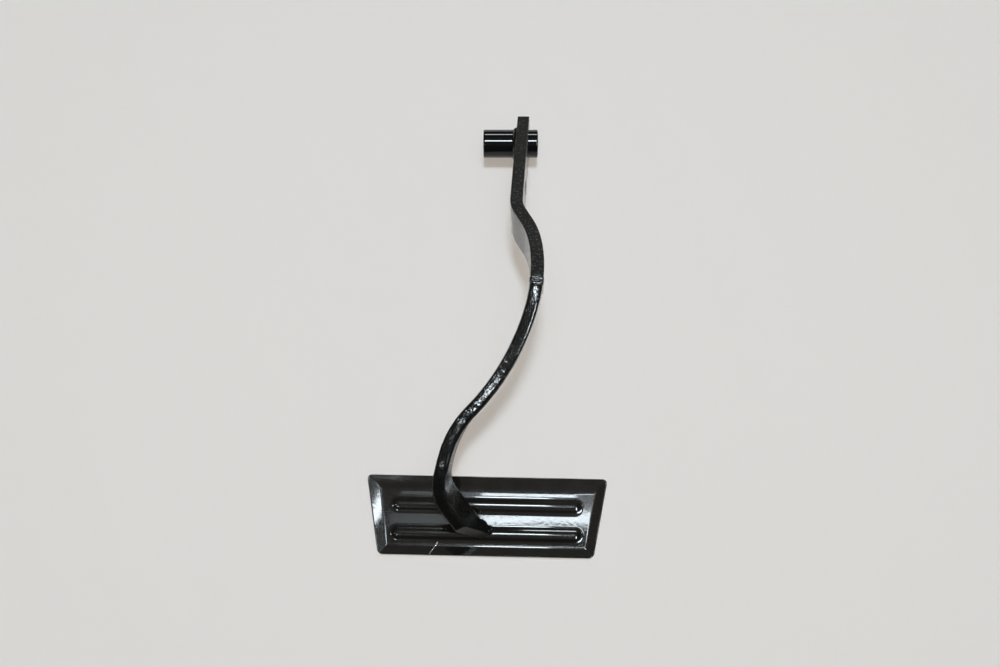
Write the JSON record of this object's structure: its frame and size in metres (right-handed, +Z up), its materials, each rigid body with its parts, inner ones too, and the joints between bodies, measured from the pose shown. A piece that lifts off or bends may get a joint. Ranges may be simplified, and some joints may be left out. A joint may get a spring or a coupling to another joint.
{
  "type": "foot pedal lever",
  "caption": "Hanging foot pedal lever: a pivot sleeve on a bent flat-bar arm that ends in a wide ribbed trapezoid foot plate, all welded steel in black paint.",
  "frame": {"origin": "under the middle of the whole lever, on the surface it lies on", "axes": "+X along the pivot axis, +Y from the foot plate towards the pivot, +Z up off the surface that the foot plate and the pivot end lie on"},
  "size_m": [0.1636, 0.3116, 0.0922],
  "materials": {
    "bar_paint": "satin black paint over sheared steel",
    "gloss_paint": "glossy black paint, slightly uneven",
    "sleeve_paint": "high-gloss black paint over turned tube",
    "plate_paint": "semi-gloss black paint over pressed sheet, lightly scratched",
    "bush_bronze": "plain sintered bronze"
  },
  "bodies": {
    "root": {"upper_lever": "bar_paint", "lower_lever": "gloss_paint", "splice_weld": "gloss_paint", "pivot_sleeve": "sleeve_paint", "pivot_bush_left": "bush_bronze", "pivot_bush_right": "bush_bronze", "sleeve_weld": "gloss_paint", "foot_plate": "plate_paint", "foot_weld": "gloss_paint"}
  },
  "joints": []
}
